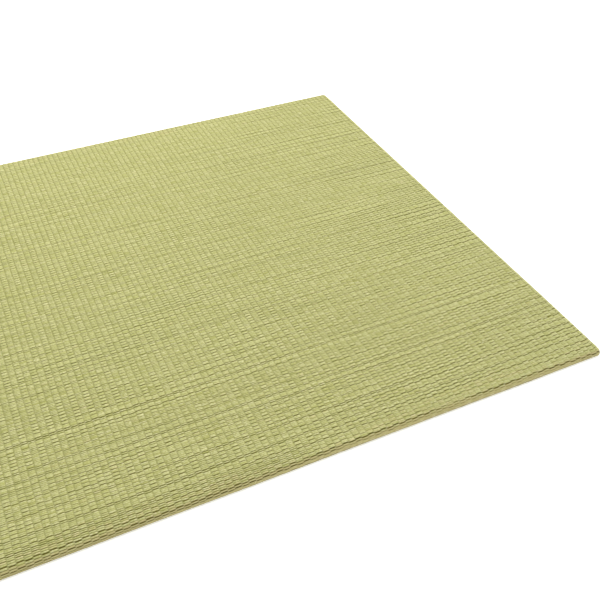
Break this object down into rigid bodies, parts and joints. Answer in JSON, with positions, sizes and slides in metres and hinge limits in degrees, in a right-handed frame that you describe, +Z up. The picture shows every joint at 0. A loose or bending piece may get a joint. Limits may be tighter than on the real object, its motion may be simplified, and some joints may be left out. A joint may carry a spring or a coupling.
{
  "type": "tatami mat",
  "caption": "Square borderless tatami mat of woven rush, flat and thin, with shallow raised columns and softly rolled edges, for laying on a floor",
  "frame": {"origin": "on the floor under the middle of the mat", "axes": "+X along the rushes, +Y along the hidden warps, +Z up"},
  "size_m": [0.8196, 0.8198, 0.011],
  "materials": {
    "woven_rush": "dry plain-woven rush, dull yellow-green with a faint gloss"
  },
  "bodies": {
    "root": {"rush_mat": "woven_rush"}
  },
  "joints": []
}
